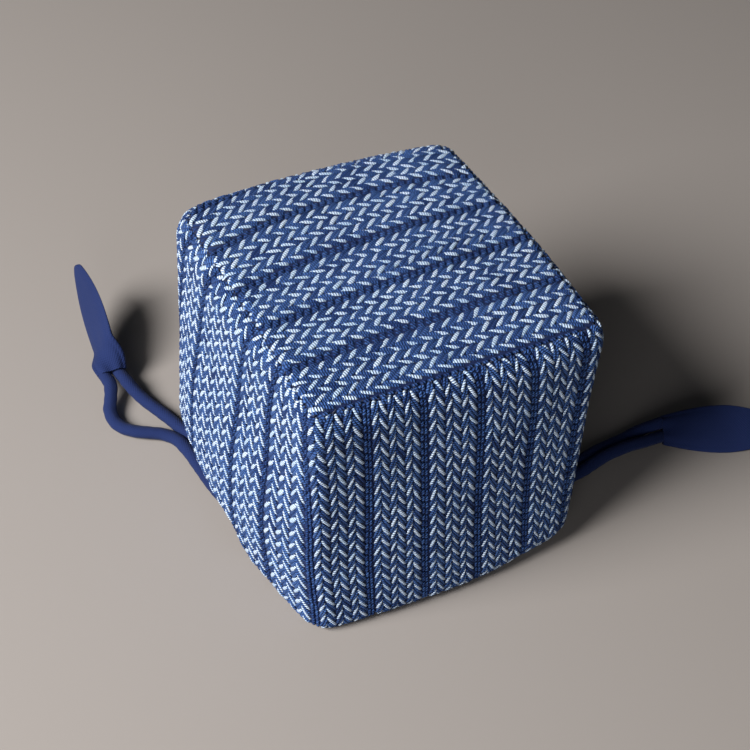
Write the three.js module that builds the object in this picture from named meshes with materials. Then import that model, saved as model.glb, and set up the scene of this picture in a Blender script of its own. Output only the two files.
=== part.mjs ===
// A small padded cloth bag for one teacup, standing upside down: its square
// base panel is on top and its drawn-in mouth is underneath.  A drawstring
// comes out low on the left and another low on the right, each as a pair of
// strands that end in a leaf-shaped cloth pull.
//
// Millimetres, +Z up.  The front is towards -Y.  The tables below measure from
// the middle of the base panel; the group then moves so that the origin lies
// under the middle of the whole bag, on the surface that it stands on.

import * as THREE from 'three';

// ---- driving dimensions -------------------------------------------------

const SEAM_HEIGHT = 78; // height of the base seam above the table
const CLOTH = 3; // thickness of the padded cloth
const SEAM_DROP = 0.9; // depth of the valley along the base seam
const SHOULDER = 7; // depth over which the side strip rolls out from the seam

const PANEL_CENTRE = new THREE.Vector2(0, 1); // middle of the base panel, in plan
const PANEL_GAP = 0.5; // between the panel's edge and the side strip's
const PANEL_PUFF = 0.6; // height of the padded panel just inside its edge, above the seam
const PANEL_CROWN = 1.2; // how much higher its middle is

const MOUTH = new THREE.Vector2(-2, -3); // middle of the drawn-in mouth, in plan
const NECK_RADIUS = 11; // outside of the gathered neck
const NECK_CLOTH = 2; // thickness of the neck's wall
const NECK_FOOT = 1.6; // clearance of the neck's hem above the table
const NECK_RIPPLE = 0.5; // how far the neck's gathers swell in and out
const RECESS = 8; // height of the gathered cloth above the table
const PLEAT_CLOTH = 2.6; // thickness of the gathered cloth, measured upwards
const PLEAT_RISE = 1.3; // half the height of the pleats
const PLEATS_PER_SIDE = 4;
const FOOT_WIDTH = 4; // flat ring that the bag stands on
const LEAST_INNER_RADIUS = 0.8; // of the bottom edge, inside the bag

const CORD = 4; // diameter of the drawstring
const CORD_SIDES = 8;
const CORD_STEPS = 20;

const LEAF_LENGTH = 38; // pull, from its straight base to its tip
const LEAF_WIDTH = 15; // at its middle, where it is widest
const LEAF_BASE = 9.2; // width of its straight base
const LEAF_THICK = 4.2; // at its base, where it holds the strands
const LEAF_THIN = 1.4; // at its tip
const LEAF_TAPER = 0.72; // share of its width that it loses from its middle to its tip
const THIN_BY = 0.625; // share of its length over which it thins
const TURNED_BY = 0.28; // share of its length over which it turns

const STEPS_PER_SIDE = 20; // columns of the cloth's facets along one side
const CROWDING = 0.6; // how much closer together they are at the corners
const MIDDLE_OF_BAG = [-2.06, -1.67]; // of its outline, from the panel's middle

// ---- the bag's outline --------------------------------------------------

// Sections of the walls at four even heights, from the table to the base seam,
// and the outline of the seam itself, which lies a little further in.  Corners
// are given in plan as [x, y].  round is the radius of each of the four corners,
// and bulge is how far each side swells outwards at its middle, in the order
// front, right, back, left.
const SECTIONS = [
  {
    frontLeft: [-41.4, -49.3], frontRight: [40.4, -50.2], backRight: [43, 44], backLeft: [-46.4, 41],
    round: [5, 9, 8, 8], bulge: [2.8, 3.5, 3, 5.5],
  },
  {
    frontLeft: [-42.9, -46.9], frontRight: [40.8, -46.8], backRight: [44, 45.5], backLeft: [-44.6, 41.8],
    round: [4.5, 6, 7, 8], bulge: [3, 3, 3, 5.6],
  },
  {
    frontLeft: [-42.7, -44.9], frontRight: [41.8, -44.6], backRight: [44.5, 46], backLeft: [-43.9, 44.3],
    round: [4.5, 5, 6, 8], bulge: [1.9, 2, 2.8, 2.1],
  },
  {
    frontLeft: [-42.5, -43], frontRight: [43.6, -42.6], backRight: [43.5, 45.5], backLeft: [-43.4, 46.2],
    round: [4.5, 4, 5, 8], bulge: [1, 1.5, 3.4, 1],
  },
];
const SEAM = {
  frontLeft: [-40.3, -40], frontRight: [40.7, -40], backRight: [40.3, 42], backLeft: [-40.8, 43],
  round: [3, 3, 5, 8], bulge: [0.3, 1.2, 2.4, -0.8],
};
const CORNERS = ['frontLeft', 'frontRight', 'backRight', 'backLeft'];

// Radius of the bottom edge at each corner and at the middle of each side that
// follows it.
const BOTTOM_EDGE = [
  { corner: 3.5, side: 4 },
  { corner: 8, side: 5 },
  { corner: 6, side: 5 },
  { corner: 6, side: 4.5 },
];

// Places where the bottom edge is lifted off the table by the strands that
// come out under it.  along runs from 0 to 1 on the side.
const LIFTS = [
  { side: 3, along: 0.29, halfWidth: 0.4, height: 4.9 },
  { side: 1, along: 0.24, halfWidth: 0.22, height: 4.9 },
];
const LIFT_FLANK = 0.45; // share of half a lift that is its slope

// ---- the strands --------------------------------------------------------

// Hand-placed routes, [x, y, z] of the centre line.
const LEFT_OUTER_ROUTE = [
  [-13.8, -4.6, 3.6], [-20, -6, 3.0], [-28, -7.4, 2.3], [-36, -6.6, 2.1], [-41.8, -2.4, 2.1],
  [-45.5, 4.6, 2.1], [-46.8, 12.6, 2.1], [-47.4, 19.4, 2.1], [-48.1, 25.4, 2.1], [-49.4, 30.4, 2.1],
  [-52.3, 34.1, 2.1], [-55.7, 36.3, 2.1], [-59.3, 38.5, 2.1], [-62.3, 41.4, 2.1], [-63.8, 45, 2.3],
  [-63.6, 49, 2.7], [-62.2, 52.3, 3.3], [-61, 55.1, 4.1], [-60.3, 57.6, 4.8], [-60.5, 60.4, 4.9],
];
const LEFT_INNER_ROUTE = [
  [-13.8, 0.2, 3.6], [-20, 0.2, 3.0], [-27, -0.6, 2.3], [-33, -0.6, 2.1], [-37.8, 1.2, 2.1],
  [-41, 6, 2.1], [-42.3, 12.8, 2.1], [-42.9, 19.6, 2.1], [-43.6, 26, 2.1], [-44.7, 30.4, 2.1],
  [-46.4, 33.9, 2.1], [-47.9, 38.2, 2.1], [-49.7, 42.6, 2.3], [-52, 47.4, 2.8], [-54, 52.2, 3.7],
  [-55, 55.4, 4.6], [-55.5, 57.6, 4.9], [-56, 60.2, 4.9],
];
const RIGHT_OUTER_ROUTE = [
  [9.2, -8.8, 3.6], [15, -12.8, 3.0], [21.5, -18.4, 2.3], [28, -23.6, 2.1], [36, -27.9, 2.1],
  [46, -30.4, 2.1], [55, -30.6, 2.9], [64, -29.1, 3.8], [73, -28.4, 3.7], [79.5, -28.5, 3.1],
  [84.6, -28.3, 2.5],
];
const RIGHT_INNER_ROUTE = [
  [10.9, -4.2, 3.6], [16.6, -7.6, 3.0], [23.6, -13.4, 2.3], [30.4, -19.1, 2.1], [37.6, -23.2, 2.1],
  [46.6, -25.8, 2.1], [56, -26.4, 2.1], [65, -25.0, 2.1], [74, -24.3, 2.1], [80.6, -23.9, 2.9],
  [86.6, -24.7, 4.1],
];

// Each pull: the middle of its base, the way to its tip, the way of its width
// at the base, and how far it turns about its length.
const LEFT_PULL = {
  base: [-58.2, 61.4, 5.4], along: [0.055, 0.924, 0.379], across: [0.992, -0.092, 0.081], twist: -1.15,
};
const RIGHT_PULL = {
  base: [86.9, -27, 3.4], along: [0.915, -0.402, 0.03], across: [0.342, 0.814, 0.469], twist: 0.05,
};

// ---- helpers ------------------------------------------------------------

const lerp = THREE.MathUtils.lerp;
const smooth = (t) => THREE.MathUtils.smoothstep(t, 0, 1);

// Value at t between b and c on a curve through four even samples.
function catmull(a, b, c, d, t) {
  const slopeB = (c - a) / 2;
  const slopeC = (d - b) / 2;
  const t2 = t * t;
  const t3 = t2 * t;
  return b * (2 * t3 - 3 * t2 + 1) + slopeB * (t3 - 2 * t2 + t) + c * (3 * t2 - 2 * t3) + slopeC * (t3 - t2);
}

// The walls' section at height z, read smoothly between the rows of the table.
function sectionAt(z) {
  const last = SECTIONS.length - 1;
  const place = THREE.MathUtils.clamp((z / SEAM_HEIGHT) * last, 0, last);
  const row = Math.min(Math.floor(place), last - 1);
  const rows = [row - 1, row, row + 1, row + 2].map((index) => SECTIONS[THREE.MathUtils.clamp(index, 0, last)]);
  const section = {};
  for (const key of Object.keys(SEAM)) {
    section[key] = rows[0][key].map((_, index) => catmull(...rows.map((each) => each[key][index]), place - row));
  }
  return section;
}

// A point of a section in plan: on a side, 0 to 1 along it.  A side starts and
// ends in the middle of its rounded corners.
function outlinePoint(section, side, along) {
  const corner = (index) => new THREE.Vector2(...section[CORNERS[index % 4]]);
  const before = corner(side + 3);
  const start = corner(side);
  const end = corner(side + 1);
  const after = corner(side + 2);
  const length = end.distanceTo(start);
  const way = end.clone().sub(start).normalize();
  const radiusStart = section.round[side % 4];
  const radiusEnd = section.round[(side + 1) % 4];
  const halfArc = 0.81; // length of half a rounded corner of radius 1
  const total = length - (1 - halfArc) * (radiusStart + radiusEnd);
  const run = along * total;

  const point = new THREE.Vector2();
  const arc = (from, tip, to, t) => {
    const k = 1 - t;
    point.set(0, 0).addScaledVector(from, k * k).addScaledVector(tip, 2 * k * t).addScaledVector(to, t * t);
  };
  if (run < halfArc * radiusStart) {
    const back = before.clone().sub(start).setLength(radiusStart).add(start);
    const onward = start.clone().addScaledVector(way, radiusStart);
    arc(back, start, onward, 0.5 + (0.5 * run) / (halfArc * radiusStart));
  } else if (run > total - halfArc * radiusEnd) {
    const back = end.clone().addScaledVector(way, -radiusEnd);
    const onward = after.clone().sub(end).setLength(radiusEnd).add(end);
    arc(back, end, onward, (0.5 * (run - total + halfArc * radiusEnd)) / (halfArc * radiusEnd));
  } else {
    point.copy(start).addScaledVector(way, radiusStart + run - halfArc * radiusStart);
  }
  const outward = new THREE.Vector2(way.y, -way.x);
  return point.addScaledVector(outward, section.bulge[side % 4] * 4 * along * (1 - along));
}

// Radius of the bottom edge and its lift off the table, along a side.
function bottomEdge(side, along) {
  const from = BOTTOM_EDGE[side % 4];
  const to = BOTTOM_EDGE[(side + 1) % 4];
  const near = along < 0.5 ? from.corner : to.corner;
  const share = (1 + Math.cos(2 * Math.PI * along)) / 2;
  return lerp(from.side, near, share);
}

function liftOff(side, along) {
  let height = 0;
  for (const lift of LIFTS) {
    // Distance along the walls, so that a lift may run on round a corner.
    let apart = side + along - lift.side - lift.along;
    apart -= 4 * Math.round(apart / 4);
    const inside = THREE.MathUtils.clamp((1 - Math.abs(apart) / lift.halfWidth) / LIFT_FLANK, 0, 1);
    height += lift.height * smooth(inside);
  }
  return height;
}

// Columns round the bag: closer together at the corners.
function columns() {
  const list = [];
  for (let side = 0; side < 4; side += 1) {
    for (let step = 0; step < STEPS_PER_SIDE; step += 1) {
      const even = step / STEPS_PER_SIDE;
      const along = even - (CROWDING * Math.sin(2 * Math.PI * even)) / (2 * Math.PI);
      list.push({ side, along, even });
    }
  }
  return list;
}

// A closed body from a ring of columns, each a list of points of one length.
// closeRows joins the last row to the first; otherwise both ends are capped
// on their middle point.
function ringBody(rings, closeRows) {
  const count = rings.length;
  const rows = rings[0].length;
  const positions = rings.flat().flatMap((p) => [p.x, p.y, p.z]);
  const faces = [];
  const index = (column, row) => (column % count) * rows + (row % rows);
  for (let column = 0; column < count; column += 1) {
    for (let row = 0; row < (closeRows ? rows : rows - 1); row += 1) {
      const a = index(column, row);
      const b = index(column + 1, row);
      const c = index(column + 1, row + 1);
      const d = index(column, row + 1);
      faces.push(a, c, b, a, d, c);
    }
  }
  if (!closeRows) {
    for (const row of [0, rows - 1]) {
      const middle = new THREE.Vector3();
      rings.forEach((ring) => middle.add(ring[row]));
      middle.divideScalar(count);
      const centre = positions.length / 3;
      positions.push(middle.x, middle.y, middle.z);
      for (let column = 0; column < count; column += 1) {
        const a = index(column, row);
        const b = index(column + 1, row);
        faces.push(centre, ...(row === 0 ? [a, b] : [b, a]));
      }
    }
  }
  const geometry = new THREE.BufferGeometry();
  geometry.setAttribute('position', new THREE.Float32BufferAttribute(positions, 3));
  geometry.setIndex(faces);
  geometry.computeVertexNormals();
  return geometry;
}

// ---- the pieces ---------------------------------------------------------

const navyWeave = new THREE.MeshStandardMaterial({ color: 0x4a6aa5, roughness: 0.9, metalness: 0 });
const navyWeaveTop = new THREE.MeshStandardMaterial({ color: 0x5a7ab5, roughness: 0.9, metalness: 0 });
const navyCloth = new THREE.MeshStandardMaterial({ color: 0x26336e, roughness: 0.85, metalness: 0 });

// The square base panel: slightly crowned and rounded down to its seam.
function basePanel() {
  const rings = columns().map(({ side, along }) => {
    const rim = outlinePoint(SEAM, side, along);
    const reach = rim.distanceTo(PANEL_CENTRE);
    const at = (inset, z) => {
      const p = rim.clone().lerp(PANEL_CENTRE, inset / reach);
      return new THREE.Vector3(p.x, p.y, z);
    };
    const top = SEAM_HEIGHT + PANEL_PUFF;
    const underside = top - CLOTH;
    return [
      at(reach * 0.93, top + PANEL_CROWN),
      at(reach * 0.6, top + PANEL_CROWN * 0.8),
      at(reach * 0.3, top + PANEL_CROWN * 0.4),
      at(3.5, top),
      at(1.5, top - 0.4),
      at(PANEL_GAP, SEAM_HEIGHT - SEAM_DROP + 0.2),
      at(PANEL_GAP, SEAM_HEIGHT - CLOTH),
      at(reach * 0.4, underside),
      at(reach * 0.93, underside + 0.4),
    ];
  });
  return ringBody(rings, false);
}

// The side strip: the four walls in one cloth, rounded in at the bottom edge,
// gathered underneath and turned down into the neck of the mouth.
function sideStrip() {
  const rings = columns().map(({ side, along, even }) => {
    const lift = liftOff(side, along);
    const radius = bottomEdge(side, along);
    const wallFoot = lift + radius;

    // A point at a height z and a distance in from the wall towards the mouth.
    const at = (inset, z) => {
      const rim = outlinePoint(sectionAt(z), side, along);
      const p = rim.add(MOUTH.clone().sub(rim).setLength(inset));
      return new THREE.Vector3(p.x, p.y, z);
    };
    // The roll from the seam out to the wall, 0 to 1 along it.
    const seamEdge = outlinePoint(SEAM, side, along);
    const roll = (share) => {
      const angle = (share * Math.PI) / 2;
      const z = SEAM_HEIGHT - SEAM_DROP - SHOULDER * (1 - Math.cos(angle));
      const p = seamEdge.clone().lerp(outlinePoint(sectionAt(z), side, along), Math.sin(angle));
      return new THREE.Vector3(p.x, p.y, z);
    };
    // A point at a height z and a distance out from the middle of the mouth.
    const foot = outlinePoint(sectionAt(wallFoot), side, along);
    const outFromMouth = (distance, z) => {
      const p = MOUTH.clone().add(foot.clone().sub(MOUTH).setLength(distance));
      return new THREE.Vector3(p.x, p.y, z);
    };
    const reach = foot.distanceTo(MOUTH);
    const innerRadius = Math.max(radius - CLOTH, LEAST_INNER_RADIUS);
    const ripple = Math.cos(2 * Math.PI * PLEATS_PER_SIDE * even) * PLEAT_RISE;
    const neckRipple = Math.cos(2 * Math.PI * PLEATS_PER_SIDE * even) * NECK_RIPPLE;

    const wallTop = SEAM_HEIGHT - SEAM_DROP - SHOULDER;
    const outerWall = [0.25, 0.5, 0.75, 1].map((t) => at(0, lerp(wallTop, wallFoot, t)));
    const innerWall = [0.95, 0.5, 0].map((t) => at(CLOTH, lerp(wallTop, wallFoot, t)));
    const turn = (r, angles) => angles.map((angle) => {
      const inset = radius - r * Math.cos(angle);
      const height = wallFoot - r * Math.sin(angle);
      return outFromMouth(reach - inset, height);
    });
    const quarter = Math.PI / 2;
    const footEnd = reach - radius - FOOT_WIDTH;
    const slope = (share, up) => {
      const distance = lerp(footEnd, NECK_RADIUS + 3, share);
      const fold = ripple * smooth(share * 1.4 - 0.2);
      return outFromMouth(distance, lerp(lift, RECESS, smooth(share * 2.2)) + fold + up);
    };
    return [
      new THREE.Vector3(seamEdge.x, seamEdge.y, SEAM_HEIGHT - SEAM_DROP - CLOTH),
      ...[0, 1 / 3, 2 / 3, 1].map(roll),
      ...outerWall,
      ...turn(radius, [quarter / 3, (quarter * 2) / 3, quarter]),
      outFromMouth(footEnd, lift),
      slope(0.2, 0),
      slope(0.45, 0),
      slope(0.75, 0),
      slope(1, 0),
      outFromMouth(NECK_RADIUS + neckRipple, RECESS - 2.2),
      outFromMouth(NECK_RADIUS + neckRipple, NECK_FOOT),
      outFromMouth(NECK_RADIUS - NECK_CLOTH + neckRipple, NECK_FOOT),
      outFromMouth(NECK_RADIUS - NECK_CLOTH + neckRipple, RECESS + 1),
      slope(1, PLEAT_CLOTH),
      slope(0.75, PLEAT_CLOTH),
      slope(0.45, PLEAT_CLOTH),
      slope(0.2, CLOTH),
      outFromMouth(footEnd, lift + CLOTH),
      ...turn(innerRadius, [quarter, quarter / 3]),
      ...innerWall,
    ];
  });
  return ringBody(rings, true);
}

// One strand of a drawstring along its route.
function strand(route) {
  const shape = new THREE.Shape();
  for (let side = 0; side < CORD_SIDES; side += 1) {
    const angle = (2 * Math.PI * side) / CORD_SIDES;
    const x = (CORD / 2) * Math.cos(angle);
    const y = (CORD / 2) * Math.sin(angle);
    if (side === 0) {
      shape.moveTo(x, y);
    } else {
      shape.lineTo(x, y);
    }
  }
  shape.closePath();
  const path = new THREE.CatmullRomCurve3(route.map((point) => new THREE.Vector3(...point)));
  return new THREE.ExtrudeGeometry(shape, { steps: CORD_STEPS, extrudePath: path, curveSegments: 1 });
}

// A leaf-shaped pull: a folded and stitched piece of cloth, straight at its
// base, widest at its middle, and narrowing to a blunt tip.
function leafPull({ base, along, across, twist }) {
  const start = new THREE.Vector3(...base);
  const way = new THREE.Vector3(...along).normalize();
  const side = new THREE.Vector3(...across);
  side.addScaledVector(way, -side.dot(way)).normalize();
  // Half the width along the leaf, 0 at the base to 1 at the tip.
  const halfWidth = (t) => {
    const swell = lerp(LEAF_BASE, LEAF_WIDTH, Math.sin(Math.PI * Math.min(t, 0.5)));
    const past = Math.max(t * 2 - 1, 0);
    return (swell / 2) * (1 - LEAF_TAPER * past * past);
  };
  const stations = 12;
  const around = 12;
  const rings = [];
  for (let corner = 0; corner < around; corner += 1) {
    const angle = (2 * Math.PI * corner) / around;
    const ring = [];
    for (let station = 0; station <= stations; station += 1) {
      const t = station / stations;
      const thick = lerp(LEAF_THICK, LEAF_THIN, smooth(t / THIN_BY)) / 2;
      const turned = side.clone().applyAxisAngle(way, twist * smooth(t / TURNED_BY));
      const face = new THREE.Vector3().crossVectors(way, turned);
      const p = start.clone().addScaledVector(way, t * LEAF_LENGTH);
      p.addScaledVector(turned, halfWidth(t) * Math.cos(angle));
      p.addScaledVector(face, thick * Math.sin(angle));
      ring.push(p);
    }
    rings.push(ring);
  }
  return ringBody(rings.reverse(), false);
}

// ---- the bag ------------------------------------------------------------

const bag = new THREE.Group();
bag.position.set(-MIDDLE_OF_BAG[0], -MIDDLE_OF_BAG[1], 0);

function add(name, geometry, material) {
  const mesh = new THREE.Mesh(geometry, material);
  mesh.name = name;
  bag.add(mesh);
}

add('base_panel', basePanel(), navyWeaveTop);
add('side_strip', sideStrip(), navyWeave);
add('left_drawstring_outer', strand(LEFT_OUTER_ROUTE), navyCloth);
add('left_drawstring_inner', strand(LEFT_INNER_ROUTE), navyCloth);
add('right_drawstring_outer', strand(RIGHT_OUTER_ROUTE), navyCloth);
add('right_drawstring_inner', strand(RIGHT_INNER_ROUTE), navyCloth);
add('left_leaf_pull', leafPull(LEFT_PULL), navyCloth);
add('right_leaf_pull', leafPull(RIGHT_PULL), navyCloth);

export default bag;
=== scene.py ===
import math
from collections import namedtuple
from functools import partial

import bpy
import numpy as np
from mathutils import Matrix, Vector


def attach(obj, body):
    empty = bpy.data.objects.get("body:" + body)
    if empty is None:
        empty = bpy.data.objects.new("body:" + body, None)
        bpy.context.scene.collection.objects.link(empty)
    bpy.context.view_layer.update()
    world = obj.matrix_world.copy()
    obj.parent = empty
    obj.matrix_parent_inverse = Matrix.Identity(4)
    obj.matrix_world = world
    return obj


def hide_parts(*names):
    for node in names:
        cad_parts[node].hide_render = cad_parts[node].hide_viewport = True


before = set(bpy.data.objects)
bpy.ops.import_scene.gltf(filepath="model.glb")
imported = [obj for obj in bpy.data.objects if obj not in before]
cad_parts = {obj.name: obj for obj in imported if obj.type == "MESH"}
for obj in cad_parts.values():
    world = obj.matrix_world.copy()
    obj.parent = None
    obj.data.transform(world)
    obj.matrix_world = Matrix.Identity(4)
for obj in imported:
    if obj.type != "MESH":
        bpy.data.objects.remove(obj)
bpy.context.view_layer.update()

# A small padded cloth bag for one teacup, standing upside down on its drawn-in
# mouth.  Shapes are in millimetres, measured from the middle of the base panel
# on the table, and piece() moves them into the frame, in metres.

MM = 0.001
MIDDLE_OF_BAG = np.array((-2.06, -1.67, 0.0))  # of its outline, from the panel's middle

SEAM_HEIGHT = 78.0
CLOTH = 3.0
SEAM_DROP = 0.9
SHOULDER = 7.0
WALL_TOP = SEAM_HEIGHT - SEAM_DROP - SHOULDER
PANEL_CENTRE = np.array((0.0, 1.0))
PANEL_GAP = 0.2
PANEL_PUFF = 0.6
PANEL_CROWN = 1.2
MOUTH = np.array((-2.0, -3.0))
NECK_RADIUS = 11.0
NECK_RIPPLE = 0.5
# The neck's cloth from its root outside, round its foot and up its inside: each
# ring's distance out from its radius, and its height.
NECK_SECTION = (
    (1.2, 7.4), (0.0, 6.4), (-0.25, 5.6), (0.0, 4.8), (0.1, 2.5),
    (-0.3, 1.7), (-1.0, 1.5), (-1.7, 1.7), (-2.0, 2.5), (-2.0, 9.0),
)
RECESS = 8.0  # height of the drawn-in cloth at the neck
PLEAT_CLOTH = 2.6
PLEAT_RISE = 1.3
PLEATS_PER_SIDE = 4
FOOT_WIDTH = 4.0
LEAST_INNER_RADIUS = 0.8
FINE_DEPTH = 12.0  # the walls' mesh is finer above this depth
WALL_DEPTH = 64.0  # and even above this one, with the turn of their foot below it
HALF_ARC = 0.81  # length of half a rounded corner of radius 1
TABLE_GAP = 0.03  # least height of yarns, strands and pulls over the table
CLOTH_GAP = 0.02  # and of the strip's own cloth

# The walls' sections at four even heights, from the table up, and the outline
# of the base seam.  Each corner, from the front left one round to the right, has
# x, y, its radius, and how far the side after it swells outwards.
SECTIONS = np.array((
    ((-41.4, -49.3, 5.0, 2.8), (40.4, -50.2, 9.0, 3.5), (43.0, 44.0, 8.0, 3.0), (-46.4, 41.0, 8.0, 5.5)),
    ((-42.9, -46.9, 4.5, 3.0), (40.8, -46.8, 6.0, 3.0), (44.0, 45.5, 7.0, 3.0), (-44.6, 41.8, 8.0, 5.6)),
    ((-42.7, -44.9, 4.5, 1.9), (41.8, -44.6, 5.0, 2.0), (44.5, 46.0, 6.0, 2.8), (-43.9, 44.3, 8.0, 2.1)),
    ((-42.5, -43.0, 4.5, 1.0), (43.6, -42.6, 4.0, 1.5), (43.5, 45.5, 5.0, 3.4), (-43.4, 46.2, 8.0, 1.0)),
))
SEAM = np.array((
    (-40.3, -40.0, 3.0, 0.3), (40.7, -40.0, 3.0, 1.2), (40.3, 42.0, 5.0, 2.4), (-40.8, 43.0, 8.0, -0.8),
))

# Radius of the bottom edge at each corner and along the side after it, and the
# places where the strands lift it: place round the bag, half width, height.
BOTTOM_EDGE = np.array(((3.5, 4.0), (8.0, 5.0), (6.0, 5.0), (6.0, 4.5)))
LIFTS = ((3.29, 0.40, 4.9), (1.24, 0.22, 4.9))
LIFT_FLANK = 0.45

# Routes of the strands and the pulls at their ends.
CORD = 4.0
REACH_IN = 2.2  # length of each strand's end inside its pull
ROUTES = {
    "left_drawstring_outer": (
        (-13.8, -4.6, 3.6), (-20, -6, 3.0), (-28, -7.4, 2.3), (-36, -6.6, 2.1), (-41.8, -2.4, 2.1),
        (-45.5, 4.6, 2.1), (-46.8, 12.6, 2.1), (-47.4, 19.4, 2.1), (-48.1, 25.4, 2.1), (-49.4, 30.4, 2.1),
        (-52.3, 34.1, 2.1), (-55.7, 36.3, 2.1), (-59.3, 38.5, 2.1), (-62.3, 41.4, 2.1), (-63.8, 45, 2.3),
        (-63.6, 49, 2.7), (-62.2, 52.3, 3.3), (-61, 55.1, 4.1), (-60.3, 57.6, 4.8), (-60.5, 60.4, 4.9),
    ),
    "left_drawstring_inner": (
        (-13.8, 0.2, 3.6), (-20, 0.2, 3.0), (-27, -0.6, 2.3), (-33, -0.6, 2.1), (-37.8, 1.2, 2.1),
        (-41, 6, 2.1), (-42.3, 12.8, 2.1), (-42.9, 19.6, 2.1), (-43.6, 26, 2.1), (-44.7, 30.4, 2.1),
        (-46.4, 33.9, 2.1), (-47.9, 38.2, 2.1), (-49.7, 42.6, 2.3), (-52, 47.4, 2.8), (-54, 52.2, 3.7),
        (-55, 55.4, 4.6), (-55.5, 57.6, 4.9), (-56, 60.2, 4.9),
    ),
    "right_drawstring_outer": (
        (9.2, -8.8, 3.6), (15, -12.8, 3.0), (21.5, -18.4, 2.3), (28, -23.6, 2.1), (36, -27.9, 2.1),
        (46, -30.4, 2.1), (55, -30.6, 2.9), (64, -29.1, 3.8), (73, -28.4, 3.7), (79.5, -28.5, 3.1),
        (84.6, -28.3, 2.5),
    ),
    "right_drawstring_inner": (
        (10.9, -4.2, 3.6), (16.6, -7.6, 3.0), (23.6, -13.4, 2.3), (30.4, -19.1, 2.1), (37.6, -23.2, 2.1),
        (46.6, -25.8, 2.1), (56, -26.4, 2.1), (65, -25.0, 2.1), (74, -24.3, 2.1), (80.6, -23.9, 2.9),
        (86.6, -24.7, 4.1),
    ),
}
LEAF_LENGTH = 38.0
LEAF_WIDTH = 15.0
LEAF_BASE = 9.2
LEAF_THICK = 4.2
LEAF_THIN = 1.4
LEAF_TAPER = 0.72
LEAF_BEND = 0.5
THIN_BY = 0.625  # share of its length over which it thins
TURNED_BY = 0.28  # and over which it turns
# For each pull: the middle of its base, the way to its tip, the way of its width
# there, and how far it turns about its length.
PULLS = {
    "left_leaf_pull": ((-58.2, 61.4, 5.4), (0.055, 0.924, 0.379), (0.992, -0.092, 0.081), -1.15),
    "right_leaf_pull": ((86.9, -27, 3.4), (0.915, -0.402, 0.03), (0.342, 0.814, 0.469), 0.05),
}

# ---- the weave

# Each plain line down the walls: its places round the bag at four depths below
# the seam, and how many columns of slanted stitches follow it.  One stripe on
# the left is wider than the others.
LINE_DEPTHS = (2.0, 20.0, 40.0, 75.0)
FRONT_LINES = (
    (-0.045, -0.028, -0.011, -0.006, 6),
    (0.165, 0.180, 0.190, 0.192, 6),
    (0.352, 0.367, 0.382, 0.395, 6),
    (0.540, 0.564, 0.578, 0.602, 6),
    (0.725, 0.756, 0.771, 0.798, 6),
    (0.925, 0.936, 0.945, 0.958, 6),
)
LEFT_LINES = (
    (3.120, 3.070, 3.040, 3.030, 6),
    (3.310, 3.250, 3.220, 3.220, 10),
    (3.597, 3.558, 3.548, 3.567, 6),
    (3.766, 3.737, 3.753, 3.776, 6),
)
HIDDEN_LINES = tuple((place,) * 4 + (6,) for place in np.linspace(1.13, 2.93, 10).round(2).tolist())
STRIP_LINES = FRONT_LINES + HIDDEN_LINES + LEFT_LINES

# The plain lines across the panel, front to back, each by its y at five places
# in x.
PANEL_LINE_PLACES = (-38.0, -20.0, 0.0, 20.0, 38.0)
PANEL_LINES = (
    (-40.5, -40.5, -40.5, -40.5, -40.5),
    (-23.7, -23.1, -22.4, -21.8, -21.2),
    (-7.4, -7.0, -6.4, -5.2, -3.6),
    (7.2, 9.7, 11.0, 12.3, 12.8),
    (23.3, 28.3, 30.1, 29.6, 25.8),
    (41.0, 45.0, 46.6, 46.2, 43.5),
)

USUAL_COLUMNS = 6
LINE_SHARE = 0.155  # width of a plain line, as a share of a stripe of the usual columns
LINE_DIP = 0.3  # how much lower the cloth lies along the plain lines
DIP_SHARE = 0.16  # and how far the dip reaches, as a share of a stripe
# Shift of every other column on the walls and on the panel, as a share of the
# stitches' spacing.
STAGGER = 0.43
PANEL_STAGGER = 0.42
STRIP_PITCH = (4.85, 4.2)  # spacing of the stitches at the seam and at the foot of the walls
PANEL_PITCH = 4.42
PANEL_SPAN = 90.0  # the panel's stitches start over this width, and those past the seam drop out
# Stitches slanting up and down to the right on most walls, the same on the left
# wall, and the two on the panel.  Each has its length along its column and its
# reach across it, as shares of the spacing and of the column's width, and how
# much wider its yarn is than the usual one.
STITCH_RUNS = np.array((
    (0.96, 0.76, 1.0), (1.03, 1.08, 1.12),
    (0.90, 0.78, 1.45), (0.98, 1.18, 1.0),
    (1.04, 1.05, 1.5), (1.04, 0.78, 1.36),
))
ALONG_YARN = np.linspace(-1, 1, 7)
MIDDLE = 3  # number of a yarn's middle station
YARN_TAPER = 1 - 0.45 * np.abs(ALONG_YARN) ** 4
PLY_PITCH = 0.68  # distance between a yarn's plies, along it
LUMP_SHARE = 0.44  # half length of a plain line's lump, as a share of their spacing
LUMP_OFF_LINE = (0.0062, 0.52)  # how far a lump lies from its line, round the bag and on the panel
LUMPS_DOWN_TO = 88.0  # depth below the seam that is sure to be past the walls' foot
LUMPS_WITHIN = 44.0  # distance either side of the middle that is sure to be past the panel's edge
SEAM_EDGE = 0.3  # yarns go down into the seam from this distance
SEAM_TUCK = 0.5  # depth that they reach there, as a share of their run past it
PAST_SEAM = 0.9  # a yarn with its middle further past the seam drops out
SINK = 0.55  # how far the ground cloth lies inside the outline that the stitches reach


def smooth(t):
    t = np.clip(t, 0.0, 1.0)
    return t * t * (3.0 - 2.0 * t)


def unit(v):
    return v / np.maximum(np.linalg.norm(v, axis=-1, keepdims=True), 1e-9)


def with_height(plan, z):
    return np.concatenate((plan, np.broadcast_to(z, plan.shape[:-1])[..., None]), -1)


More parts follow.
